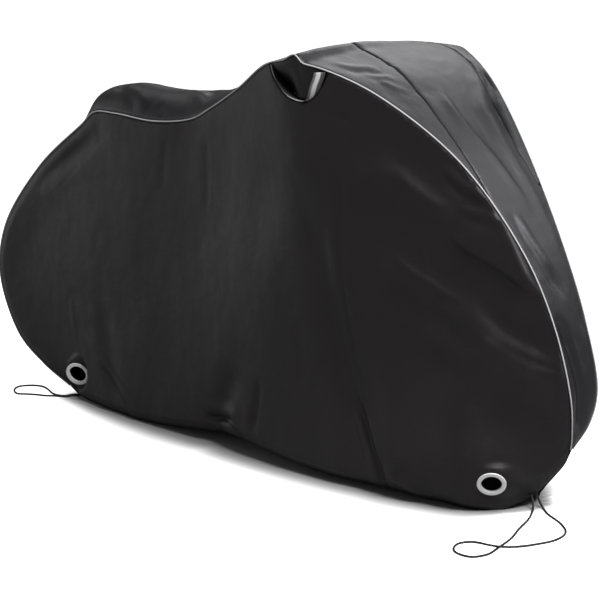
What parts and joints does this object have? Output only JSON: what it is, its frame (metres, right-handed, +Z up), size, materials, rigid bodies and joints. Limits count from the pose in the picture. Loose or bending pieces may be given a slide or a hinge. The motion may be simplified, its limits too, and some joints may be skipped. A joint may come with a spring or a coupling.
{
  "type": "bicycle cover",
  "caption": "Fitted cloth cover for a bicycle, hollow and open underneath, with a wide top strip, reflective piping, a taped vent and lock holes.",
  "frame": {"origin": "underside of the top strip's centre panel, over the handlebar that holds the cover up", "axes": "+X towards the bicycle's front, -Y the side with the vent, +Z up"},
  "size_m": [2.1151, 0.7059, 1.0435],
  "materials": {
    "side_cloth": "black coated woven polyester, matt with a faint sheen",
    "strip_cloth": "black coated woven polyester, satin, greyer where it faces up",
    "piping": "thin silver reflective piping",
    "tape": "grey woven tape with a silver reflective middle",
    "ring": "white plastic, satin",
    "cord": "thin black braided cord"
  },
  "bodies": {
    "root": {"side_near": "side_cloth", "side_far": "side_cloth", "strip_centre": "strip_cloth", "gusset_near": "strip_cloth", "gusset_far": "strip_cloth", "piping_near": "piping", "piping_far": "piping", "vent_cloth": "side_cloth", "vent_band": "tape", "eyelet_rear_near": "ring", "eyelet_rear_far": "ring", "eyelet_front_near": "ring", "eyelet_front_far": "ring", "cord_front": "cord", "cord_rear": "cord"}
  },
  "joints": []
}
